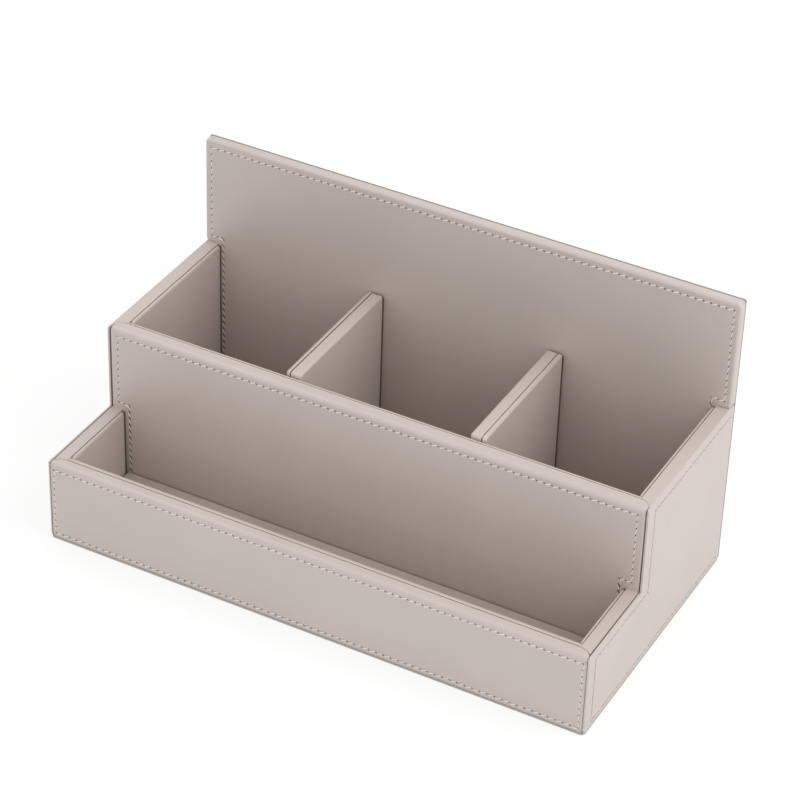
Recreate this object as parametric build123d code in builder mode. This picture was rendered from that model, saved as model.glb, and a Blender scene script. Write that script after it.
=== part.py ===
from build123d import *
import os

# Desk organizer of leather-covered boards: a low tray in front, three compartments behind
# a riser, and a tall back panel. Millimetres. X is the width, Y runs from front to rear,
# Z is up, and the origin is the middle of the footprint on the desk.

# Overall sizes

width = 286.0  # over the two side skins
depth = 150.0  # front face to rear face
tray_height = 45.0  # front wall, and the side walls beside the tray
riser_height = 91.5  # riser, and the side walls beside the compartments
back_height = 150.0  # back panel
riser_setback = 54.0  # front face to the riser's front face
left_divider_middle = -45.4
right_divider_middle = 52.4

# Sheet and board thicknesses

skin = 1.3  # bonded leather and its backing
wall_board = 5.2  # sides, front and riser
base_board_thickness = 5.2
back_board_thickness = 3.2
divider_board_thickness = 4.7
lining = 2.4  # leather over card, on the inside of each wall
divider_lining = 2.3
floor_lining = 2.4
base_sheet = 1.0

# Edges

board_round = 0.15  # sanded edge of a side board or the back board under a turned skin
cross_board_round = 1.0  # rounder front edge of the front board and of the riser board
cut_round = 0.4  # pressed edge of a cut skin
end_round = 0.6  # upright end of the front skin and of the riser's arms
lining_round = 1.4  # leather turned round the card of a lining, on the side of the room
lining_back_round = 0.45  # and on the side of the wall
lining_corner_round = 1.7  # top corners of a lining, seen from the room side
floor_lining_round = 0.5
divider_round = 1.2  # edges of the side of a divider's wrap that has no lining
divider_corner_round = 1.7  # top corners of a divider, seen from the side
lower_corner_round = 1.6  # lower front corners of the front skin and the side skins
back_corner_round = 2.2  # top corners of the back panel
rear_corner_round = 1.0  # top corners of the rear skin
shoulder_round = 2.4  # lower outer corners of the back panel's arms
base_round = 2.0  # corners of the base sheet
lining_drop = 0.1  # a lining ends this far below the wall it covers
divider_rise = 1.7  # a divider stands this far above the riser

# Open joints

side_seam = 0.7  # riser skin to side skin
front_seam = 0.15  # front skin to side skin
mitre_gap = 0.3  # between two skins that meet on top of a wall
lining_seam = 0.3  # cut end of a turned skin or strip to the lining or skin beside it
lining_gap = 0.45  # rear end of a side lining to the riser or the back panel
shoulder_gap = 0.1  # skin of the back panel over a side wall
floor_gap = 0.4  # floor lining to the walls round it
divider_gap = 0.45  # each end of a divider

# Places that follow from them

edge_round = skin + board_round
cross_edge_round = skin + cross_board_round
half = width / 2
side_board_outside = half - skin
side_board_inside = side_board_outside - wall_board
lined_half = side_board_inside - lining
front = -depth / 2
front_board_face = front + skin
front_board_back = front_board_face + wall_board
front_skin_end = front_board_back - lining_seam
tray_front = front_board_back + lining
riser_face = front + riser_setback
riser_board_face = riser_face + skin
riser_board_back = riser_board_face + wall_board
riser_skin_end = riser_board_back - lining_seam
compartment_front = riser_board_back + lining
rear = depth / 2
back_board_back = rear - skin
back_board_face = back_board_back - back_board_thickness
compartment_back = back_board_face - skin
base_top = base_sheet + base_board_thickness
tray_board_top = tray_height - skin
riser_board_top = riser_height - skin
arm_bottom = riser_height + shoulder_gap
divider_top = riser_height + divider_rise
divider_thickness = skin + divider_board_thickness + divider_lining

pieces = {}


def slab(x, y, z):
    """A rectangular piece between two values each of x, y and z."""
    x = sorted(x)
    with BuildPart() as piece:
        with BuildSketch(Plane.XY.offset(z[0])):
            with Locations((x[0], y[0])):
                Rectangle(x[1] - x[0], y[1] - y[0], align=Align.MIN)
        extrude(amount=z[1] - z[0])
    return piece


def nearest(piece, axis, point):
    """The edge along an axis that passes nearest to a point."""
    return piece.edges().filter_by(axis).sort_by_distance(point)[0]


def upper_edges(faces):
    """All edges of some faces, except those along the bottom."""
    return faces.edges() - faces.edges().group_by(Axis.Z)[0]


def mirrored(piece):
    """The left-hand twin of a right-hand piece."""
    with BuildPart() as twin:
        mirror(piece.part, about=Plane.YZ)
    return twin


def stepped_side(front_end, step, rear_end, bottom, low_top, high_top):
    """Corners of a side wall's outline, seen from the side."""
    return (
        (front_end, bottom),
        (front_end, low_top),
        (step, low_top),
        (step, high_top),
        (rear_end, high_top),
        (rear_end, bottom),
    )


# Base board and the sheet under it

pieces["base_board"] = slab(
    (-side_board_outside, side_board_outside),
    (front_board_face, back_board_back),
    (base_sheet, base_top),
)

with BuildPart() as base_cover:
    with BuildSketch():
        RectangleRounded(width, depth, base_round)
    extrude(amount=base_sheet)
pieces["base_cover"] = base_cover

# Front board and riser board, which stand between the side boards


def cross_board(face, top):
    with BuildPart() as board:
        add(slab((-side_board_inside, side_board_inside), (face, face + wall_board), (base_top, top)).part)
        fillet(nearest(board, Axis.X, (0, face, top)), cross_board_round)
    return board


pieces["front_board"] = cross_board(front_board_face, tray_board_top)
pieces["riser_board"] = cross_board(riser_board_face, riser_board_top)

# Side boards, one step up from the tray to the compartments

with BuildPart() as right_side_board:
    with BuildSketch(Plane.YZ.offset(side_board_inside)):
        with BuildLine():
            board_outline = stepped_side(
                front_board_face,
                riser_board_face,
                back_board_back,
                base_top,
                tray_board_top,
                riser_board_top,
            )
            Polyline(*board_outline, close=True)
        make_face()
    extrude(amount=wall_board)
    fillet(
        nearest(right_side_board, Axis.Y, (side_board_outside, back_board_back, riser_board_top)),
        board_round,
    )
pieces["right_side_board"] = right_side_board
pieces["left_side_board"] = mirrored(right_side_board)

# Back board, a T whose stem stands between the side boards and whose arms lie over the side walls


def back_arms(face, inset, front_round):
    """The arms of the T between a face and the rear skin, inset from the skin's outline."""
    with BuildPart() as sheet:
        with BuildSketch(Plane.XZ.offset(-back_board_back)) as outline:
            with Locations((0, arm_bottom + inset)):
                Rectangle(
                    2 * (half - inset),
                    back_height - arm_bottom - 2 * inset,
                    align=(Align.CENTER, Align.MIN),
                )
            fillet(outline.vertices().group_by(Axis.Y)[0], shoulder_round - inset)
            fillet(outline.vertices().group_by(Axis.Y)[-1], back_corner_round - inset)
        extrude(amount=back_board_back - face)
        fillet(sheet.faces().sort_by(Axis.Y)[0].edges(), front_round)
    return sheet


def back_stem(face, back):
    """The stem of the T, up to where the arms are at their full thickness."""
    return slab(
        (-side_board_inside, side_board_inside),
        (face, back),
        (base_top, arm_bottom + skin + edge_round),
    )


with BuildPart() as back_board:
    add(back_arms(back_board_face, skin, board_round).part)
    add(back_stem(back_board_face, back_board_back).part)
pieces["back_board"] = back_board

# Skin of the front wall, turned over the top, with its ends cut to a quarter ellipse

mitre_reach = wall_board  # across a side wall's top, from its lining seam outwards

with BuildPart() as front_outer_skin:
    add(
        slab(
            (0, side_board_outside - front_seam),
            (front, front_skin_end),
            (base_sheet, tray_height),
        ).part
    )
    fillet(nearest(front_outer_skin, Axis.X, (0, front, tray_height)), cross_edge_round)
    fillet(
        nearest(front_outer_skin, Axis.Y, (side_board_outside, front, base_sheet)),
        lower_corner_round,
    )
    fillet(nearest(front_outer_skin, Axis.Z, (side_board_outside, front, base_top)), end_round)
    for board in ("base_board", "front_board", "right_side_board"):
        add(pieces[board].part, mode=Mode.SUBTRACT)
    with BuildSketch(Plane.XY.offset(tray_board_top)):
        with Locations((side_board_inside, front)):
            Rectangle(wall_board, front_board_back - front, align=Align.MIN)
            Ellipse(mitre_reach, front_skin_end - front, mode=Mode.SUBTRACT)
    extrude(amount=skin, mode=Mode.SUBTRACT)
    mirror(about=Plane.YZ)
pieces["front_outer_skin"] = front_outer_skin

# Skin of the riser: its arms cover the ends of the side walls' high part, its stem runs down
# behind the tray, and its top is turned back to the lining with the same cut ends

with BuildPart() as riser_front_skin:
    add(
        slab(
            (0, side_board_outside - side_seam),
            (riser_face, riser_skin_end),
            (tray_height, riser_height),
        ).part
    )
    fillet(nearest(riser_front_skin, Axis.X, (0, riser_face, riser_height)), cross_edge_round)
    fillet(
        nearest(riser_front_skin, Axis.Z, (side_board_outside, riser_face, riser_height)),
        end_round,
    )
    for board in ("riser_board", "right_side_board"):
        add(pieces[board].part, mode=Mode.SUBTRACT)
    add(slab((0, side_board_inside), (riser_face, riser_board_face), (base_top, tray_height)).part)
    with BuildSketch(Plane.XY.offset(riser_board_top)):
        with Locations((side_board_inside, riser_face)):
            Rectangle(wall_board, riser_board_back - riser_face, align=Align.MIN)
            Ellipse(mitre_reach, riser_skin_end - riser_face, mode=Mode.SUBTRACT)
    extrude(amount=skin, mode=Mode.SUBTRACT)
    mirror(about=Plane.YZ)
pieces["riser_front_skin"] = riser_front_skin

# Skin of the back panel, turned round the arms on every side and flat on the stem

with BuildPart() as back_front_skin:
    add(back_arms(compartment_back, 0, edge_round).part)
    add(back_board.part, mode=Mode.SUBTRACT)
    add(back_stem(compartment_back, back_board_face).part)
pieces["back_front_skin"] = back_front_skin

# Rear skin, a plain sheet whose cut edge shows all round the back

with BuildPart() as back_rear_skin:
    add(slab((-half, half), (back_board_back, rear), (base_sheet, back_height)).part)
    fillet(back_rear_skin.edges().filter_by(Axis.Y).group_by(Axis.Z)[-1], rear_corner_round)
    fillet(back_rear_skin.faces().sort_by(Axis.Y)[-1].edges(), cut_round)
pieces["back_rear_skin"] = back_rear_skin

# Side skins: a stepped sheet outside, turned over the top beside the compartments only

with BuildPart() as right_side_skin:
    with BuildSketch(Plane.YZ.offset(side_board_outside)):
        with BuildLine():
            skin_outline = stepped_side(
                front,
                riser_face,
                back_board_back,
                base_sheet,
                tray_height,
                riser_height,
            )
            Polyline(*skin_outline, close=True)
        make_face()
    extrude(amount=skin)
    with BuildSketch(Plane.XY.offset(riser_board_top)):
        with Locations((side_board_inside + lining_seam, riser_face)):
            Rectangle(wall_board - lining_seam, back_board_back - riser_face, align=Align.MIN)
        with Locations((side_board_inside, riser_face)):
            Ellipse(mitre_reach, riser_skin_end - riser_face + mitre_gap, mode=Mode.SUBTRACT)
    extrude(amount=skin)
    fillet(nearest(right_side_skin, Axis.X, (half, front, base_sheet)), lower_corner_round)
    fillet(nearest(right_side_skin, Axis.Y, (half, back_board_back, riser_height)), edge_round)
    fillet(nearest(right_side_skin, Axis.Y, (half, front, tray_height)), cut_round)
    fillet(nearest(right_side_skin, Axis.Z, (half, front, tray_height)), cut_round)
    fillet(nearest(right_side_skin, Axis.Z, (half, riser_face, riser_height)), cut_round)
pieces["right_side_skin"] = right_side_skin
pieces["left_side_skin"] = mirrored(right_side_skin)

# Strips that cover the side boards' top edges beside the tray

with BuildPart() as right_tray_edge_strip:
    with BuildSketch(Plane.XY.offset(tray_board_top)):
        with Locations((side_board_inside + lining_seam, front)):
            Rectangle(wall_board - 2 * lining_seam, riser_board_face - front, align=Align.MIN)
        with Locations((side_board_inside, front)):
            Ellipse(
                mitre_reach + mitre_gap,
                front_skin_end - front + mitre_gap,
                mode=Mode.SUBTRACT,
            )
    extrude(amount=skin)
    fillet(
        nearest(right_tray_edge_strip, Axis.Y, (side_board_outside, riser_board_face, tray_height)),
        cut_round,
    )
pieces["right_tray_edge_strip"] = right_tray_edge_strip
pieces["left_tray_edge_strip"] = mirrored(right_tray_edge_strip)

# Linings: card panels in leather on the inside of the walls, with round edges and top corners


def wall_lining(x, y, wall_top, across, room):
    """A lining between two values of x and of y; across is the axis of its thickness, and
    room is a point in the space that it faces."""
    with BuildPart() as panel:
        add(slab(x, y, (base_top, wall_top - lining_drop)).part)
        fillet(panel.edges().filter_by(across).group_by(Axis.Z)[-1], lining_corner_round)
        sides = panel.faces().filter_by(across).sort_by_distance(room)
        fillet(upper_edges(sides[:1]), lining_round)
        fillet(upper_edges(sides[1:]), lining_back_round)
    return panel


tray_middle = (0, (tray_front + riser_face) / 2, base_top)
compartment_middle = (0, (compartment_front + compartment_back) / 2, base_top)
board_span = (-side_board_inside, side_board_inside)
right_lining_span = (lined_half, side_board_inside)

pieces["front_inner_lining"] = wall_lining(
    board_span,
    (front_board_back, tray_front),
    tray_height,
    Axis.Y,
    tray_middle,
)
pieces["riser_rear_lining"] = wall_lining(
    board_span,
    (riser_board_back, compartment_front),
    riser_height,
    Axis.Y,
    compartment_middle,
)
for place, ends, wall_top, room in (
    ("tray", (tray_front, riser_face), tray_height, tray_middle),
    ("compartment", (compartment_front, compartment_back), riser_height, compartment_middle),
):
    y_span = (ends[0], ends[1] - lining_gap)
    panel = wall_lining(right_lining_span, y_span, wall_top, Axis.X, room)
    pieces[f"right_{place}_lining"] = panel
    pieces[f"left_{place}_lining"] = mirrored(panel)

# Dividers: a board in a skin that is turned over its top and ends, with a lining on the side
# that faces the outer compartment


def divider(middle, lined_side):
    """Board, wrap and lining of a divider; lined_side is 1 where the lining is on its right."""
    lined_face = middle + lined_side * divider_thickness / 2
    seam = lined_face - lined_side * divider_lining
    board_face = seam - lined_side * divider_board_thickness
    wrap_face = board_face - lined_side * skin
    ends = (compartment_front + divider_gap, compartment_back - divider_gap)

    with BuildPart() as board:
        add(
            slab(
                (board_face, seam),
                (ends[0] + skin, ends[1] - skin),
                (base_top, divider_top - skin),
            ).part
        )
        fillet(board.edges().filter_by(Axis.X).group_by(Axis.Z)[-1], divider_corner_round - skin)

    with BuildPart() as wrap:
        add(slab((wrap_face, seam - lined_side * lining_seam), ends, (base_top, divider_top)).part)
        fillet(wrap.edges().filter_by(Axis.X).group_by(Axis.Z)[-1], divider_corner_round)
        sides = wrap.faces().filter_by(Axis.X).sort_by_distance((wrap_face, 0, 0))
        fillet(upper_edges(sides[:1]), divider_round)
        fillet(upper_edges(sides[1:]), cut_round)
        add(board.part, mode=Mode.SUBTRACT)

    with BuildPart() as panel:
        add(slab((seam, lined_face), ends, (base_top, divider_top)).part)
        fillet(panel.edges().filter_by(Axis.X).group_by(Axis.Z)[-1], divider_corner_round)
        sides = panel.faces().filter_by(Axis.X).sort_by_distance((lined_face, 0, 0))
        fillet(upper_edges(sides[:1]), lining_round)
        fillet(upper_edges(sides[1:]), cut_round)
    return board, wrap, panel


for side, middle, lined_side in (
    ("left", left_divider_middle, -1),
    ("right", right_divider_middle, 1),
):
    board, wrap, panel = divider(middle, lined_side)
    pieces[f"{side}_divider_board"] = board
    pieces[f"{side}_divider_wrap"] = wrap
    pieces[f"{side}_divider_lining"] = panel

# Floor linings: stiff card panels in leather, dropped in last


def floor_panel(x, y):
    """A floor lining that fills the space between two values of x and of y."""
    with BuildPart() as panel:
        add(
            slab(
                (x[0] + floor_gap, x[1] - floor_gap),
                (y[0] + floor_gap, y[1] - floor_gap),
                (base_top, base_top + floor_lining),
            ).part
        )
        fillet(panel.edges().group_by(Axis.Z)[-1], floor_lining_round)
    return panel


def divider_sides(middle):
    """Where the left and the right face of a divider are."""
    return middle - divider_thickness / 2, middle + divider_thickness / 2


compartment_ends = (compartment_front, compartment_back)
left_divider_sides = divider_sides(left_divider_middle)
right_divider_sides = divider_sides(right_divider_middle)
for place, x, y in (
    ("tray", (-lined_half, lined_half), (tray_front, riser_face)),
    ("left", (-lined_half, left_divider_sides[0]), compartment_ends),
    ("centre", (left_divider_sides[1], right_divider_sides[0]), compartment_ends),
    ("right", (right_divider_sides[1], lined_half), compartment_ends),
):
    pieces[f"{place}_floor_lining"] = floor_panel(x, y)

os.makedirs("parts", exist_ok=True)
for name, piece in pieces.items():
    piece.part.label = name
    export_step(piece.part, f"parts/{name}.step")
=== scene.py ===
"""Desk organizer of leather-covered boards: its looks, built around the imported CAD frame."""

import math
import random

import bmesh
import bpy
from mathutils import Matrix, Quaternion, Vector


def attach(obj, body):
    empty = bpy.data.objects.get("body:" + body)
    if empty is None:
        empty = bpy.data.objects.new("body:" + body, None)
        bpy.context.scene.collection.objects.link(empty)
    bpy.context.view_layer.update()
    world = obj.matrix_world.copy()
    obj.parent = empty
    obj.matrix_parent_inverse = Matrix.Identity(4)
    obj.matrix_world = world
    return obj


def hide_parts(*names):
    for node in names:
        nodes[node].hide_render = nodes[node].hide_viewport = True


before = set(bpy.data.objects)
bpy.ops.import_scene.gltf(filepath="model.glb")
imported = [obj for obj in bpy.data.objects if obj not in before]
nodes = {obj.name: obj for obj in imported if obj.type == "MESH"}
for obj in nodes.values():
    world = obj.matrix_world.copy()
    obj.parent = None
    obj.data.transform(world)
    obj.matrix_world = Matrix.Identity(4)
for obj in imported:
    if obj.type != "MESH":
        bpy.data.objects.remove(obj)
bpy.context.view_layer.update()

MM = 0.001
UP = Vector((0, 0, 1))

# Seams, in millimetres

stitch_pitch = 3.85
# Pressed row: distance from its middle line and depth, from one side to the other
row_profile = ((-1.3, 0.0), (-0.9, 0.04), (-0.55, 0.09), (0.55, 0.09), (0.9, 0.04), (1.3, 0.0))
row_half = 1.3  # half the width of the pressed row
row_depth = 0.09
row_run_out = 1.6  # how far an open row runs on past its first and last hole
slit_clearance = 0.8  # from the middle of a hole to the first line of its panel across the row
slit_half_width = 0.245
stem_slit_half_width = 0.36
slit_rim = 0.05  # dark rim inside the mouth of a slit
slit_floor = 0.8  # depth of a slit under the pressed row
slit_floor_share = 0.72  # size of a slit's floor, as a share of its mouth
slit_along = Vector((0.585, -0.395))  # half a slit on a level row, seen from outside
slit_front_column = Vector((-0.3, -0.42))
slit_arm_column = Vector((0.3, -0.42))
slit_stem_column = Vector((0.5, -0.95))
stem_edge = 134.0  # an upright row nearer to the middle than this runs down a stem

# Threads, in millimetres

thread_radius = 0.28
column_thread = 0.7  # share of the radius on an upright row, where the thread is pulled tight
side_thread = 0.8  # the same on the side skins
thread_rise = 0.24  # how far the middle of a thread stands over the pressed row
side_rise = 0.16  # the same on the side skins
upright_rise = {
    "front_outer_skin": -0.1,
    "riser_front_skin": 0.12,
    "back_front_skin": -0.03,
    "back_rear_skin": -0.03,
}
stem_lead = 0.55  # share of a stem's slit that its thread crosses, leaning the other way
uneven_pull = 0.03  # how much higher or lower than the others a thread may stand
thread_sides = 6
thread_rings = 6
top_rings = (2, 3)  # rings on top of the row
tucked_share = 0.75  # share of the radius of the other rings, which go down into the slits
thread_end_depth = 0.7
# From the middle of a slit to the top of the row: shares of half the slit, and steps along the row
tuck, bend, crest = 0.85, 1.05, 1.1
bend_depth = row_depth + 0.05
crest_step = 0.4

# Stitched skins: the plane of each one's outer face, and the way to the right seen from outside

faces_of_skins = {
    "front_outer_skin": (Vector((0, -75.0, 0)), Vector((1, 0, 0))),
    "riser_front_skin": (Vector((0, -21.0, 0)), Vector((1, 0, 0))),
    "back_front_skin": (Vector((0, 69.2, 0)), Vector((1, 0, 0))),
    "right_side_skin": (Vector((143.0, 0, 0)), Vector((0, 1, 0))),
    "left_side_skin": (Vector((-143.0, 0, 0)), Vector((0, -1, 0))),
    "back_rear_skin": (Vector((0, 75.0, 0)), Vector((-1, 0, 0))),
}

# Above this height a skin is turned over its board, and below it its edges are cut

folds_above = {
    "front_outer_skin": 42.5,
    "riser_front_skin": 89.0,
    "back_front_skin": 91.0,
    "right_side_skin": 89.0,
    "left_side_skin": 89.0,
    "back_rear_skin": 999.0,
}
cut_edge_band = (0.3, 1.2)  # behind the outer face of the rear skin, where its cut edge shows
arm_foot = 91.6  # lower edge of the back panel's arms
arm_foot_blend = 3.4  # height over which the tight fold at the arms' feet fades out
fold_depth = 1.45
tight_fold_share = 0.25  # share of its depth that the fold keeps at the arms' feet

# Where the covers end up once they are pulled over the walls and glued

# Each pair is a place in the CAD frame, across or along, and that place on the finished object
tray_across = (
    (133.0, 133.0),
    (134.1, 133.9),  # face of the lining
    (136.5, 135.4),  # its wall side
    (136.8, 135.75),  # strip on top of the wall
    (141.4, 141.8),
    (141.7, 142.1),  # inner face of the side skin
    (143.0, 143.0),
)
compartment_across = (
    (133.0, 133.0),
    (134.1, 134.0),  # face of the lining
    (136.5, 135.5),  # its wall side
    (136.8, 135.86),  # end of the skin that is turned over the wall
    (141.0, 141.45),  # end of the riser's skin
    (141.7, 142.1),
    (143.0, 143.0),
)
tray_floor_across = ((131.0, 131.0), (133.7, 132.9))
front_end_across = ((140.9, 140.9), (141.55, 142.0))
riser_end_across = ((140.3, 140.3), (141.0, 141.45))
riser_stem_across = ((133.1, 133.1), (136.5, 133.7))
front_along = ((-74.0, -74.0), (-68.8, -69.45), (-68.5, -69.05), (-66.1, -66.1))
riser_along = ((-20.0, -20.0), (-14.8, -14.35), (-14.5, -13.95), (-12.1, -12.1))
tray_lining_along = ((-30.0, -30.0), (-21.45, -22.0))
side_front_along = ((-75.0, -74.55), (-74.6, -74.2), (-70.0, -70.0))
divider_along = ((50.0, 50.0), (69.2, 68.85))

# Places in the CAD frame by which a corner of a cover is told from the others

front_face = -75.0
front_end_starts = 140.9  # the end of the front skin is rounded from here outwards
front_end_depth = -74.3  # and in front of this
front_top_starts = -74.9  # a turned front skin lies on top of its wall from here on
tray_top = 45.05
riser_stem_reach = 137.0
riser_top_starts = -20.9
side_front_ends = -74.0
side_inside = 142.1  # inner face of a side skin, once it is pulled over

end_round_kept = 0.75  # share of the rounding that stays where a skin's end lies against the next skin
side_front_inside = 142.25  # inner face of a side skin's front end, which leaves a thin open joint
front_corner_centre = (139.95, 2.6)
side_corner_centre = (73.4, 2.6)
lower_corner_squareness = 0.9

# Glued joints, where strips of glue with painted shade lie, in millimetres

base_top = 6.2
lining_joint = (134.2, 136.0)  # across, hidden by the lining's face
back_joint = (68.0, 69.22)  # along, up to the back panel
riser_joint = (-22.3, -20.98)
compartment_joint_top = 90.6
tray_joint_top = 44.2
divider_joint_inset = 0.1  # from the sides of a divider
divider_joint_drop = 1.9  # from the top of a divider, which is rounded

# How the meshes are read and shaded

same_corner = 1e-6  # metres: corners of the CAD mesh that lie nearer than this are one
same_row_corner = 2e-6
same_stitch_corner = 1e-3  # share of the radius of a stitch
same_plane = 2e-6  # metres: a face whose middle lies nearer than this to a skin's plane is in it
same_direction = 0.9995  # cosine of the angle up to which two directions count as one
row_reach = 1e-3  # metres: all of the pressed row lies nearer than this to its skin's plane
skin_smooth_angle = 38  # degrees: an edge that turns more than this stays sharp
thread_smooth_angle = 70


# Colour and nodes


def linear(hex_code):
    """A colour written as sRGB hex, as the linear value that a socket takes."""
    channels = [int(hex_code[i : i + 2], 16) / 255 for i in (1, 3, 5)]
    return [c / 12.92 if c <= 0.04045 else ((c + 0.055) / 1.055) ** 2.4 for c in channels] + [1.0]


def add_node(tree, kind, inputs=None, **settings):
    """Adds a node with its settings. An input is a value, or the socket that it is linked to."""
    node = tree.nodes.new(kind)
    for name, value in settings.items():
        setattr(node, name, value)
    for name, value in (inputs or {}).items():
        if isinstance(value, bpy.types.NodeSocket):
            tree.links.new(value, node.inputs[name])
        else:
            node.inputs[name].default_value = value
    return node


def new_material(name):
    """An empty node material."""
    material = bpy.data.materials.new(name)
    material.use_nodes = True
    material.node_tree.nodes.clear()
    return material


# The leather's grain is too fine to make out in the photo, and is drawn just coarse enough to show

grain_width = 0.45
grain_height = 0.018
grain_strength = 0.6
crease_width = 1.6
patch_width = 38.0  # of the faint lighter and darker patches
patch_range = {"From Min": 0.3, "From Max": 0.7, "To Min": 0.975, "To Max": 1.02}
gloss_spread = 0.04  # how far the roughness varies to each side
# Painted shade: the inside of a slit, much darker than the leather's cut edge
slit_painted_shade = "#2E2622"  # the inside of a slit


def bonded_leather(name, hex_code, roughness, slits=False):
    """Bonded leather with an embossed grain and a matt lacquer: a soft, even sheen."""
    material = new_material(name)
    tree = material.node_tree
    place = add_node(tree, "ShaderNodeTexCoord").outputs["Object"]
    pebbles = add_node(
        tree,
        "ShaderNodeTexVoronoi",
        {"Vector": place, "Scale": 1 / (grain_width * MM), "Randomness": 1.0},
        feature="SMOOTH_F1",
    )
    creases = add_node(
        tree,
        "ShaderNodeTexNoise",
        {"Vector": place, "Scale": 1 / (crease_width * MM), "Detail": 3.0},
    )
    patches = add_node(
        tree,
        "ShaderNodeTexNoise",
        {"Vector": place, "Scale": 1 / (patch_width * MM), "Detail": 2.0},
    )
    height = add_node(
        tree,
        "ShaderNodeMath",
        {0: pebbles.outputs["Distance"], 1: creases.outputs["Fac"]},
        operation="ADD",
    )
    bump = add_node(
        tree,
        "ShaderNodeBump",
        {"Height": height.outputs[0], "Distance": grain_height * MM, "Strength": grain_strength},
    )
    shade = add_node(tree, "ShaderNodeMapRange", {"Value": patches.outputs["Fac"], **patch_range})
    tone = add_node(
        tree,
        "ShaderNodeHueSaturation",
        {"Color": linear(hex_code), "Value": shade.outputs[0]},
    )
    colour = tone.outputs["Color"]
    # Painted shade inside the slits, laid over the leather's colour
    if slits:
        inside = add_node(tree, "ShaderNodeAttribute", attribute_name="slit").outputs["Fac"]
        dark = add_node(
            tree,
            "ShaderNodeMix",
            {"Factor": inside, "A": colour, "B": linear(slit_painted_shade)},
            data_type="RGBA",
        )
        colour = dark.outputs["Result"]
    gloss = add_node(
        tree,
        "ShaderNodeMapRange",
        {
            "Value": creases.outputs["Fac"],
            "From Min": 0.3,
            "From Max": 0.7,
            "To Min": roughness - gloss_spread,
            "To Max": roughness + gloss_spread,
        },
    )
    shader = add_node(
        tree,
        "ShaderNodeBsdfPrincipled",
        {
            "Base Color": colour,
            "Roughness": gloss.outputs[0],
            "Normal": bump.outputs[0],
            "IOR": 1.6,
            "Specular IOR Level": 1.0,
        },
    )
    add_node(tree, "ShaderNodeOutputMaterial", {"Surface": shader.outputs[0]})
    return material


def simple_finish(name, hex_code, roughness, fibre_width, contrast, relief):
    """A matt surface with one fine grain, for edges, boards, thread, glue and the base sheet."""
    material = new_material(name)
    tree = material.node_tree
    place = add_node(tree, "ShaderNodeTexCoord").outputs["Object"]
    grain = add_node(
        tree,
        "ShaderNodeTexNoise",
        {"Vector": place, "Scale": 1 / (fibre_width * MM), "Detail": 4.0},
    )
    shade = add_node(
        tree,
        "ShaderNodeMapRange",
        {
            "Value": grain.outputs["Fac"],
            "From Min": 0.3,
            "From Max": 0.7,
            "To Min": 1 - contrast,
            "To Max": 1 + contrast,
        },
    )
    tone = add_node(
        tree,
        "ShaderNodeHueSaturation",
        {"Color": linear(hex_code), "Value": shade.outputs[0]},
    )
    bump = add_node(tree, "ShaderNodeBump", {"Height": grain.outputs["Fac"], "Distance": relief * MM})
    shader = add_node(
        tree,
        "ShaderNodeBsdfPrincipled",
        {"Base Color": tone.outputs["Color"], "Roughness": roughness, "Normal": bump.outputs[0]},
    )
    add_node(tree, "ShaderNodeOutputMaterial", {"Surface": shader.outputs[0]})
    return material


# Bonded leather, embossed and lacquered: pale taupe with a soft sheen, and painted shade inside the slits
outer_leather = bonded_leather("bonded_leather_outside", "#C1B5AF", 0.44, slits=True)
# The same leather on the linings, a trace more matt
lining_leather = bonded_leather("bonded_leather_lining", "#C1B4AE", 0.46)
# Cut edge of the leather: its grey fibres, darker than the lacquered face
cut_edge = simple_finish("cut_leather_edge", "#827F7A", 0.7, 0.35, 0.06, 0.03)
# Back of the leather with dried glue, darkened as painted shade: it turns an open joint into a dark line
raw_back_with_seam_shade = simple_finish("leather_backing_with_painted_seam_shade", "#7A6E65", 0.9, 0.5, 0.1, 0.05)
# Twisted polyester thread: paler than the leather, with a slight shine
polyester_thread = simple_finish("polyester_thread", "#EEE6E2", 0.4, 0.25, 0.05, 0.03)
# The same thread on the side skins, darkened as painted shade where it is drawn in: it looks no paler than
# the leather
thread_with_painted_shade = simple_finish("polyester_thread_in_a_tight_row", "#CDC3BE", 0.5, 0.25, 0.05, 0.03)
# Brushed microfibre under the base: fully matt
microfibre = simple_finish("microfibre_base_sheet", "#B5AFA9", 0.95, 0.4, 0.08, 0.05)
# Dried glue in a joint, with painted shade: nearly black, as the joint lies in the shade of the wall
glue_with_painted_shade = simple_finish("glue_with_painted_joint_shade", "#54473F", 0.8, 0.5, 0.08, 0.03)
# Pressed fibreboard, darkened as painted shade for the gaps where it shows: hidden under the leather
fibreboard_with_painted_shade = simple_finish("fibreboard_with_painted_gap_shade", "#6E6156", 0.85, 0.5, 0.08, 0.03)


# Stitched faces


def outward_of(name):
    """The way out of a stitched skin's outer face."""
    return faces_of_skins[name][1].cross(UP)


def place_in(name, flat, depth):
    """A point of a skin's outer face, given across, up and into the leather, in metres."""
    origin, right = faces_of_skins[name]
    return (origin + right * flat.x + UP * flat.y - outward_of(name) * depth) * MM


def depth_at(distance):
    """Depth of the pressed row at a distance from its middle line."""
    distance = abs(distance)
    for (far, high), (near, low) in zip(row_profile[3:-1], row_profile[4:]):
        if far <= distance <= near:
            return high + (low - high) * (distance - far) / (near - far)
    return row_depth if distance < row_profile[3][0] else 0.0


def spread(start, end):
    """Hole places from one corner to the next, evenly spaced at about the pitch."""
    count = max(2, round((end - start).length / stitch_pitch))
    return [start.lerp(end, k / count) for k in range(count + 1)]


def slit_at(name, place, level):
    """Half a slit's length, as a vector, for a row of a skin."""
    if level:
        return slit_along
    if name == "front_outer_skin":
        return slit_front_column
    if name in ("riser_front_skin", "back_front_skin") and abs(place.x) < stem_edge:
        return slit_stem_column
    return slit_arm_column


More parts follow.
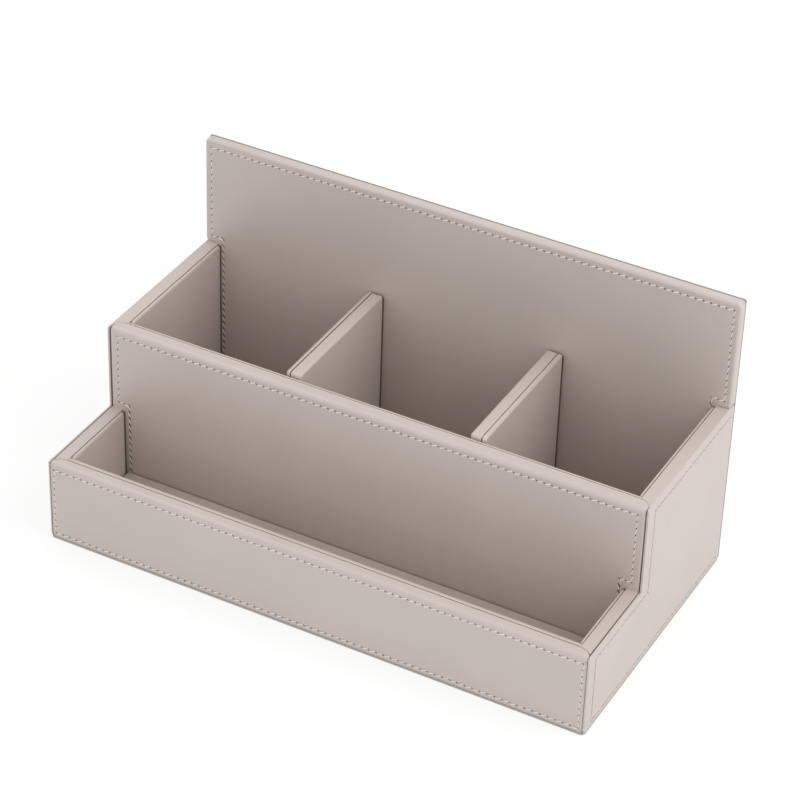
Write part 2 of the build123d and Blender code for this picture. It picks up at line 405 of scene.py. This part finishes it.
def holes_along(name, corners, closed):
    """The holes of a seam in order: place, way in, way out, half slit, and lead of the thread."""
    stops = [Vector(c) for c in corners]
    if closed:
        stops.append(stops[0])
    holes = []
    for start, end in zip(stops, stops[1:]):
        way = (end - start).normalized()
        slit = slit_at(name, (start + end) / 2, abs(way.x) > 0.5)
        lead = Vector((-slit.x, slit.y)) * stem_lead if slit == slit_stem_column else slit
        for place in spread(start, end):
            if holes and (place - holes[-1]["place"]).length < 0.01:
                holes[-1]["out"] = way
                continue
            holes.append({"place": place, "in": way, "out": way, "slit": slit, "lead": lead})
    if closed:
        last = holes.pop()
        holes[0]["in"] = last["in"]
    return holes


def is_corner(hole):
    """Whether the row turns at a hole."""
    return (hole["in"] - hole["out"]).length > 0.01


def cuts_along(holes, k, closed):
    """Places along a straight row at which the panel of one of its holes has a line across."""
    reach = []
    for other in (holes[k - 1], holes[(k + 1) % len(holes)]):
        gap = (other["place"] - holes[k]["place"]).length
        reach.append(gap - row_half if is_corner(other) else gap / 2)
    if not closed and k == 0:
        reach[0] = row_run_out
    if not closed and k == len(holes) - 1:
        reach[1] = row_run_out
    return [-reach[0], -slit_clearance, slit_clearance, reach[1]]


def depth_by_corner(hole, spot):
    """Depth of the pressed leather at a spot beside a hole where the row turns."""
    distances = []
    for arm in (-hole["in"], hole["out"]):
        side = Vector((-arm.y, arm.x))
        distances.append(abs(spot.dot(side)) if spot.dot(arm) > 0 else spot.length)
    return depth_at(min(distances))


def press_holes(bm, name, holes, closed):
    """Lays one small panel of pressed leather round each hole, and returns the mouths of the slits."""
    mouths = []
    for k, hole in enumerate(holes):
        corner = is_corner(hole)
        columns = 5 if corner else 3
        made = bmesh.ops.create_grid(bm, x_segments=columns, y_segments=5, size=0.5)
        grid = {(round((v.co.x + 0.5) * columns), round((v.co.y + 0.5) * 5)): v for v in made["verts"]}
        along = [line for line, depth in row_profile] if corner else cuts_along(holes, k, closed)
        run_outs = []
        if not closed and k == 0:
            run_outs.append(0)
        if not closed and k == len(holes) - 1:
            run_outs.append(3)
        way = hole["out"]
        across = Vector((-way.y, way.x))
        slit = hole["slit"] if hole["slit"].dot(way) > 0 else -hole["slit"]
        slit = Vector((slit.dot(way), slit.dot(across)))
        half = stem_slit_half_width if hole["slit"] == slit_stem_column else slit_half_width
        half_width = Vector((-slit.y, slit.x)).normalized() * half
        middle = (columns - 1) // 2
        tips = {
            (middle, 2): -slit - half_width,
            (middle + 1, 2): slit - half_width,
            (middle + 1, 3): slit + half_width,
            (middle, 3): half_width - slit,
        }
        for (i, j), vert in grid.items():
            local = tips.get((i, j), Vector((along[i], row_profile[j][0])))
            spot = way * local.x + across * local.y
            if (i, j) in tips:
                depth = row_depth
            elif corner:
                depth = depth_by_corner(hole, spot)
            else:
                depth = 0.0 if i in run_outs else row_profile[j][1]
            vert.co = place_in(name, hole["place"] + spot, depth)
        mouths.append(bm.faces.get([grid[place] for place in tips]))
    return mouths


def cut_slits(bm, mouths, outward, inside):
    """Sinks each slit under its mouth, and marks what lies inside it, which takes painted shade."""
    bmesh.ops.inset_individual(bm, faces=mouths, thickness=slit_rim * MM, depth=0.0)
    for face in mouths:
        for v in face.verts:
            v[inside] = 1.0
    for floor in bmesh.ops.extrude_discrete_faces(bm, faces=mouths)["faces"]:
        middle = floor.calc_center_median()
        for v in floor.verts:
            v.co = middle.lerp(v.co, slit_floor_share) - outward * slit_floor * MM
            v[inside] = 1.0


# Covers as they lie once they are glued


def tighten_feet(bm, face):
    """Draws the fold of the back panel's skin tight where its arms lie on the side walls."""
    for v in bm.verts:
        height, inwards = v.co.z / MM - arm_foot, v.co.y / MM - face
        if -0.05 < height < arm_foot_blend and 0 < inwards < fold_depth + 0.01:
            share = max(0.0, min(1.0, (height - fold_depth) / (arm_foot_blend - fold_depth)))
            kept = tight_fold_share + (1 - tight_fold_share) * share
            v.co.y = (face + inwards * kept) * MM


def moved(value, stops):
    """A place that moves with the two known places that it lies between."""
    for (start, new_start), (end, new_end) in zip(stops, stops[1:]):
        if start <= value <= end:
            return new_start + (new_end - new_start) * (value - start) / (end - start)
    return value


def squared(across, height, centre):
    """Draws the rounded lower corner of a skin out to the nearly square corner that it is cut to."""
    right, down = across - centre[0], centre[1] - height
    if right <= 0 or down <= 0:
        return across, height
    reach = math.hypot(right, down) / max(right, down)
    share = 1 + lower_corner_squareness * (reach - 1)
    return centre[0] + right * share, centre[1] - down * share


def pull_over(v, name):
    """Moves a corner of a cover to where it lies once it is pulled over the wall and glued."""
    across, along, height = abs(v.co.x) / MM, v.co.y / MM, v.co.z / MM
    turned = height > folds_above.get(name, 0)
    side_skin = name.endswith("side_skin")
    if name == "tray_floor_lining":
        across = moved(across, tray_floor_across)
    elif "tray" in name or (side_skin and not turned):
        across = moved(across, tray_across)
    elif "compartment" in name or side_skin:
        across = moved(across, compartment_across)
    elif name == "front_outer_skin":
        if across > front_end_starts and along < front_end_depth:
            along = front_face + (along - front_face) * end_round_kept
        on_top = turned and along > front_top_starts
        across = moved(across, tray_across if on_top else front_end_across)
    elif name == "riser_front_skin" and height < tray_top:
        across = moved(across, riser_stem_across if across < riser_stem_reach else riser_end_across)
    elif name == "riser_front_skin":
        on_top = turned and along > riser_top_starts
        across = moved(across, compartment_across if on_top else riser_end_across)
    elif name == "front_inner_lining":
        along = moved(along, front_along)
    elif name == "riser_rear_lining":
        along = moved(along, riser_along)
    if (name == "front_outer_skin" and turned) or name.endswith("edge_strip"):
        along = moved(along, front_along)
    if turned and (side_skin or name == "riser_front_skin"):
        along = moved(along, riser_along)
    if name.endswith("tray_lining"):
        along = moved(along, tray_lining_along)
    if side_skin:
        if along < side_front_ends and abs(across - side_inside) < 0.05 and v.co.x > 0:
            across = side_front_inside
        along = moved(along, side_front_along)
        forward, height = squared(-along, height, side_corner_centre)
        along = -forward
    if "divider" in name or name.endswith("compartment_lining"):
        along = moved(along, divider_along)
    if name == "front_outer_skin":
        across, height = squared(across, height, front_corner_centre)
    v.co = Vector((math.copysign(across, v.co.x), along, height)) * MM


# Pieces


def finished_piece(bm, name, material, smooth_angle):
    """Turns a bmesh into a piece of the organizer that rides on its one body."""
    for face in bm.faces:
        face.smooth = True
    limit = math.radians(smooth_angle)
    for edge in bm.edges:
        edge.smooth = len(edge.link_faces) == 2 and edge.calc_face_angle(0) < limit
    mesh = bpy.data.meshes.new(name)
    bm.to_mesh(mesh)
    bm.free()
    mesh.materials.append(material)
    piece = bpy.data.objects.new(name, mesh)
    bpy.context.collection.objects.link(piece)
    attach(piece, "root")
    return piece


def even_shading(piece):
    """Shades flat faces as flat, so that only the roundings between them take up the turn."""
    shading = piece.modifiers.new("even_shading", "WEIGHTED_NORMAL")
    shading.keep_sharp = True
    return shading


def node_mesh(name):
    """A bmesh copy of a CAD node, with its loose triangles joined."""
    bm = bmesh.new()
    bm.from_mesh(nodes[name].data)
    bmesh.ops.remove_doubles(bm, verts=bm.verts, dist=same_corner)
    bm.normal_update()
    return bm


def inwards_of(name, place):
    """How far a place lies behind the plane of a skin's outer face, in metres."""
    return (faces_of_skins[name][0] * MM - place).dot(outward_of(name))


def is_plain(name, face):
    """Whether a face is part of a skin's flat outer face."""
    in_plane = abs(inwards_of(name, face.calc_center_median())) < same_plane
    return in_plane and face.normal.dot(outward_of(name)) > same_direction


def stitched_skin(name, corners, closed, piece_name):
    """A copy of a CAD skin whose outer face carries a pressed row of slits, with its thread."""
    outward = outward_of(name)
    bm = node_mesh(name)
    plain = [face for face in bm.faces if is_plain(name, face)]
    bmesh.ops.delete(bm, geom=plain, context="FACES")
    rim = {v for e in bm.edges if e.is_boundary for v in e.verts}
    holes = holes_along(name, corners, closed)
    mouths = press_holes(bm, name, holes, closed)
    inside = bm.verts.layers.float.new("slit")
    row_verts = [v for v in bm.verts if abs(inwards_of(name, v.co)) < row_reach and v not in rim]
    bmesh.ops.remove_doubles(bm, verts=row_verts, dist=same_row_corner)
    outline = [e for e in bm.edges if e.is_boundary]
    bmesh.ops.triangle_fill(bm, edges=outline, use_beauty=True, normal=outward)
    cut_slits(bm, mouths, outward, inside)
    bmesh.ops.recalc_face_normals(bm, faces=bm.faces)
    bm.normal_update()
    if name == "back_rear_skin":
        for face in bm.faces:
            inwards = inwards_of(name, face.calc_center_median()) / MM
            if cut_edge_band[0] < inwards < cut_edge_band[1]:
                face.material_index = 1
    flat_layer = bm.verts.layers.deform.verify()
    for v in bm.verts:
        if v not in rim or v.co.z / MM < folds_above[name]:
            v[flat_layer][0] = 1.0
    if name == "back_front_skin":
        tighten_feet(bm, faces_of_skins[name][0].y)
    for v in bm.verts:
        pull_over(v, name)
    piece = finished_piece(bm, piece_name, outer_leather, skin_smooth_angle)
    piece.data.materials.append(cut_edge)
    piece.vertex_groups.new(name="flat_parts")
    even_shading(piece).vertex_group = "flat_parts"
    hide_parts(name)
    sew(name, holes, closed, piece_name + "_thread")


# Thread


def straight_stitch():
    """A closed tube of unit radius, rolled up from a grid. Its rings are laid along each stitch."""
    steps = thread_rings - 1
    tube = bmesh.new()
    bmesh.ops.create_grid(tube, x_segments=thread_sides, y_segments=steps, size=0.5)
    for v in tube.verts:
        angle = math.pi / 2 - math.tau * (v.co.x + 0.5)
        v.co = (math.cos(angle), math.sin(angle), (v.co.y + 0.5) * steps)
    bmesh.ops.remove_doubles(tube, verts=tube.verts, dist=same_stitch_corner)
    ends = [edge for edge in tube.edges if edge.is_boundary]
    bmesh.ops.holes_fill(tube, edges=ends, sides=thread_sides)
    bmesh.ops.recalc_face_normals(tube, faces=tube.faces)
    mesh = bpy.data.meshes.new("one_stitch")
    tube.to_mesh(mesh)
    tube.free()
    return mesh


one_stitch = straight_stitch()
stitch_corners = [(round(v.co.z), math.atan2(v.co.y, v.co.x)) for v in one_stitch.vertices]


def radius_and_rise(name, level, on_stem):
    """Radius of a thread, and its height over the pressed row, which differ from row to row."""
    if name.endswith("side_skin"):
        return thread_radius * side_thread, side_rise
    if level:
        return thread_radius, thread_rise
    return thread_radius * column_thread, thread_rise if on_stem else upright_rise[name]


def sew(name, holes, closed, piece_name):
    """One bent thread from each slit to the next, dipping into both."""
    draw = random.Random(piece_name)
    outward = outward_of(name)
    bm = bmesh.new()
    pairs = list(zip(holes, holes[1:]))
    if closed:
        pairs.append((holes[-1], holes[0]))
    for start, end in pairs:
        way = (end["place"] - start["place"]).normalized()
        leave = start["lead"] if start["lead"].dot(way) > 0 else -start["lead"]
        enter = end["lead"] if end["lead"].dot(way) > 0 else -end["lead"]
        thickness, rise = radius_and_rise(name, abs(way.x) > 0.5, start["slit"] == slit_stem_column)
        lift = draw.uniform(-uneven_pull, uneven_pull)
        course = (
            (tuck, 0.0, thread_end_depth),
            (bend, 0.0, bend_depth),
            (crest, crest_step, row_depth - rise - lift),
        )
        path = [(start["place"] + leave * share + way * step, depth) for share, step, depth in course]
        path += [(end["place"] - enter * share - way * step, depth) for share, step, depth in course[::-1]]
        points = [place_in(name, flat, depth) for flat, depth in path]
        first = len(bm.verts)
        bm.from_mesh(one_stitch)
        bm.verts.ensure_lookup_table()
        frames = []
        for k, point in enumerate(points):
            along = (points[min(k + 1, thread_rings - 1)] - points[max(k - 1, 0)]).normalized()
            beside = along.cross(outward).normalized()
            frames.append((point, beside, beside.cross(along)))
        for index, (ring, angle) in enumerate(stitch_corners):
            point, beside, above = frames[ring]
            radius = thickness * MM * (1.0 if ring in top_rings else tucked_share)
            bm.verts[first + index].co = point + (beside * math.cos(angle) + above * math.sin(angle)) * radius
    # The side skins' thread takes the copy with painted shade
    finish = thread_with_painted_shade if name.endswith("side_skin") else polyester_thread
    piece = finished_piece(bm, piece_name, finish, thread_smooth_angle)


def outline_points(half_across, low, high):
    """Corners of a rectangular seam, clockwise from the top left."""
    return ((-half_across, high), (half_across, high), (half_across, low), (-half_across, low))


def arms_and_stem(arm, top, jog, stem, low):
    """Corners of a seam that follows two arms and a narrower stem."""
    right = ((arm, top), (arm, jog), (stem, jog), (stem, low))
    return tuple((-x, z) for x, z in reversed(right)) + right


# Corners of the seams, across and up on each skin's outer face

front_seam = outline_points(140.0, 3.5, 41.1)
riser_seam = arms_and_stem(137.6, 87.3, 48.8, 131.7, 10.2)
back_seam = arms_and_stem(139.5, 146.0, 95.2, 132.9, 10.2)
rear_seam = outline_points(139.3, 4.7, 146.3)
right_seam = ((70.4, 3.3), (-67.6, 3.3), (-67.6, 39.7), (-13.0, 39.7), (-13.0, 86.6), (70.4, 86.6))
left_seam = tuple((-y, z) for y, z in reversed(right_seam))

stitched_skin("front_outer_skin", front_seam, True, "front_skin")
stitched_skin("riser_front_skin", riser_seam, False, "riser_skin")
stitched_skin("back_front_skin", back_seam, False, "back_skin")
stitched_skin("back_rear_skin", rear_seam, True, "rear_skin")
stitched_skin("right_side_skin", right_seam, False, "right_skin")
stitched_skin("left_side_skin", left_seam, False, "left_skin")

# Finishes of the CAD nodes, by the end of their names

# Boards take the fibreboard darkened as painted shade in the gaps
finishes = (
    ("board", fibreboard_with_painted_shade),
    ("base_cover", microfibre),
    ("edge_strip", outer_leather),
    ("lining", lining_leather),
    ("wrap", outer_leather),
)
for name, node in nodes.items():
    for ending, material in finishes:
        if name.endswith(ending):
            node.data.materials.clear()
            node.data.materials.append(material)
            break

# Linings, strips and dividers


def glued_cover(name, piece_name, wall_side, material):
    """A copy of a lining, strip or wrap at its place on the finished walls, with its raw back painted dark as
    seam shade.
    """
    bm = node_mesh(name)
    # Faces towards the wall take the raw back, painted dark as the shade in the seams
    for face in bm.faces:
        face.material_index = 1 if face.normal.dot(wall_side) > 0.5 else 0
    for v in bm.verts:
        pull_over(v, name)
    piece = finished_piece(bm, piece_name, material, skin_smooth_angle)
    piece.data.materials.append(raw_back_with_seam_shade)
    even_shading(piece)
    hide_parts(name)
    return piece


def glued_lining(name, piece_name, wall_side):
    """A lining at its place on the finished walls."""
    return glued_cover(name, piece_name, wall_side, lining_leather)


forwards = Vector((0, -1, 0))
glued_lining("front_inner_lining", "front_lining_cover", forwards)
glued_lining("tray_floor_lining", "tray_floor_cover", -UP)
glued_lining("riser_rear_lining", "riser_lining_cover", forwards)
dividers = {}
for hand, way in (("left", -1), ("right", 1)):
    outwards = Vector((way, 0, 0))
    for part in ("tray_lining", "compartment_lining"):
        glued_lining(f"{hand}_{part}", f"{hand}_{part}_cover", outwards)
    glued_cover(
        f"{hand}_tray_edge_strip",
        f"{hand}_tray_edge_cover",
        outwards,
        outer_leather,
    )
    lining = glued_lining(f"{hand}_divider_lining", f"{hand}_divider_lining_cover", -outwards)
    wrap = glued_cover(
        f"{hand}_divider_wrap",
        f"{hand}_divider_wrap_cover",
        -forwards,
        outer_leather,
    )
    dividers[hand] = (lining, wrap)

# Dark lines of painted shade, on glue, where the ends of dividers and linings are glued to the wall behind
# them


def glue_and_shade_line(piece_name, across, along, top):
    """A thin strip of glue, darkened as painted shade, from the base board up to just under the top of the
    joint.
    """
    low = Vector((across[0], along[0], base_top))
    high = Vector((across[1], along[1], top))
    bm = bmesh.new()
    bmesh.ops.create_cube(bm, size=1.0)
    for v in bm.verts:
        share = v.co + Vector((0.5, 0.5, 0.5))
        v.co = Vector([low[k] + (high[k] - low[k]) * share[k] for k in range(3)]) * MM
    piece = finished_piece(bm, piece_name, glue_with_painted_shade, skin_smooth_angle)


for hand, way in (("left", -1), ("right", 1)):
    behind_lining = sorted(way * place for place in lining_joint)
    glue_and_shade_line(f"{hand}_compartment_joint", behind_lining, back_joint, compartment_joint_top)
    glue_and_shade_line(f"{hand}_tray_joint", behind_lining, riser_joint, tray_joint_top)
    corners = [v.co / MM for piece in dividers[hand] for v in piece.data.vertices]
    glue_and_shade_line(
        f"{hand}_divider_joint",
        (min(c.x for c in corners) + divider_joint_inset, max(c.x for c in corners) - divider_joint_inset),
        back_joint,
        max(c.z for c in corners) - divider_joint_drop,
    )

# Floor: a white paper sweep that takes a faint shadow

floor_half = 4.0  # metres
floor_drop = 0.1  # millimetres, so that the floor and the base sheet don't share a plane
shadow_share = 0.22  # share of the white that a shadow can take away
clear_from, clear_to = 0.5, 1.1  # metres from the middle, over which the paper turns plain white
touching_length = 0.5  # millimetres: a ray shorter than this comes from the base sheet

floor_bm = bmesh.new()
bmesh.ops.create_grid(floor_bm, x_segments=1, y_segments=1, size=floor_half)
bmesh.ops.translate(floor_bm, verts=floor_bm.verts, vec=(0, 0, -floor_drop * MM))
floor_mesh = bpy.data.meshes.new("studio_floor")
floor_bm.to_mesh(floor_mesh)
floor_bm.free()
studio_floor = bpy.data.objects.new("studio_floor", floor_mesh)
bpy.context.collection.objects.link(studio_floor)

floor_material = new_material("white_paper_sweep")
tree = floor_material.node_tree
rays = add_node(tree, "ShaderNodeLightPath").outputs
seen_or_mirrored = add_node(
    tree,
    "ShaderNodeMath",
    {0: rays["Is Camera Ray"], 1: rays["Is Glossy Ray"]},
    operation="MAXIMUM",
)
seen = add_node(
    tree,
    "ShaderNodeMath",
    {0: seen_or_mirrored.outputs[0], 1: rays["Is Transmission Ray"]},
    operation="MAXIMUM",
)
paper = add_node(tree, "ShaderNodeBsdfDiffuse", {"Color": linear("#E8E8E8")})
shaded = add_node(tree, "ShaderNodeBsdfDiffuse", {"Color": [shadow_share] * 3 + [1.0]})
glow = add_node(tree, "ShaderNodeEmission", {"Color": (1, 1, 1, 1), "Strength": 1 - shadow_share})
white_with_shadow = add_node(tree, "ShaderNodeAddShader", {0: shaded.outputs[0], 1: glow.outputs[0]})
place = add_node(tree, "ShaderNodeTexCoord").outputs["Object"]
away = add_node(tree, "ShaderNodeVectorMath", {0: place}, operation="LENGTH")
fading = add_node(
    tree,
    "ShaderNodeMapRange",
    {"Value": away.outputs["Value"], "From Min": clear_from, "From Max": clear_to},
)
bright = add_node(tree, "ShaderNodeEmission", {"Color": (1, 1, 1, 1), "Strength": 1.0})
backdrop = add_node(
    tree,
    "ShaderNodeMixShader",
    {"Fac": fading.outputs[0], 1: white_with_shadow.outputs[0], 2: bright.outputs[0]},
)
sweep = add_node(
    tree,
    "ShaderNodeMixShader",
    {"Fac": seen.outputs[0], 1: paper.outputs[0], 2: backdrop.outputs[0]},
)
# Clear from below, so that the base can be looked at
touching = add_node(
    tree,
    "ShaderNodeMath",
    {0: rays["Ray Length"], 1: touching_length * MM},
    operation="LESS_THAN",
)
from_below = add_node(
    tree,
    "ShaderNodeMath",
    {
        0: add_node(tree, "ShaderNodeNewGeometry").outputs["Backfacing"],
        1: touching.outputs[0],
    },
    operation="MAXIMUM",
)
clear = add_node(tree, "ShaderNodeBsdfTransparent")
one_sided = add_node(
    tree,
    "ShaderNodeMixShader",
    {"Fac": from_below.outputs[0], 1: sweep.outputs[0], 2: clear.outputs[0]},
)
add_node(tree, "ShaderNodeOutputMaterial", {"Surface": one_sided.outputs[0]})
floor_mesh.materials.append(floor_material)

# World: soft light from all round, and plain white where the camera looks past the floor

world = bpy.data.worlds.new("studio")
world.use_nodes = True
world.node_tree.nodes.clear()
tree = world.node_tree
rays = add_node(tree, "ShaderNodeLightPath").outputs
ambient = add_node(tree, "ShaderNodeBackground", {"Color": linear("#FFFFFD"), "Strength": 0.71})
white = add_node(tree, "ShaderNodeBackground", {"Color": (1, 1, 1, 1), "Strength": 1.0})
surroundings = add_node(
    tree,
    "ShaderNodeMixShader",
    {"Fac": rays["Is Camera Ray"], 1: ambient.outputs[0], 2: white.outputs[0]},
)
add_node(tree, "ShaderNodeOutputWorld", {"Surface": surroundings.outputs[0]})
bpy.context.scene.world = world

# Softboxes: place in metres and watts, matched to the shading in the photo

softbox_size = 1.2
softbox_aim = Vector((0, 0, 0.06))
softboxes = {
    "right_softbox": ((1.7, -0.1, 0.7), 4.6),
    "right_high_softbox": ((1.3, 0.2, 1.5), 12.7),
    "front_softbox": ((0.0, -1.8, 0.8), 5.0),
    "left_softbox": ((-1.3, 0.2, 1.5), 5.6),
    "rear_softbox": ((0.0, 1.5, 1.4), 2.9),
}
for name, (place, watts) in softboxes.items():
    lamp = bpy.data.lights.new(name, "AREA")
    lamp.shape = "SQUARE"
    lamp.size = softbox_size
    lamp.energy = watts
    holder = bpy.data.objects.new(name, lamp)
    holder.location = place
    aim = softbox_aim - Vector(place)
    holder.rotation_euler = aim.to_track_quat("-Z", "Y").to_euler()
    bpy.context.collection.objects.link(holder)

# Camera, fitted to the corners of the object in the photo

camera_place = (0.5471, -1.0413, 0.9212)
camera_sight = Vector((-0.37651, 0.72379, -0.57824))
camera_roll = math.radians(1.97)

camera_data = bpy.data.cameras.new("camera")
camera_data.lens = 138.79
camera_data.sensor_width = 36.0
camera = bpy.data.objects.new("camera", camera_data)
camera.location = camera_place
camera.rotation_mode = "QUATERNION"
upright = camera_sight.to_track_quat("-Z", "Y")
camera.rotation_quaternion = upright @ Quaternion((0, 0, 1), camera_roll)
bpy.context.collection.objects.link(camera)
bpy.context.scene.camera = camera
bpy.context.scene.view_settings.view_transform = "Standard"
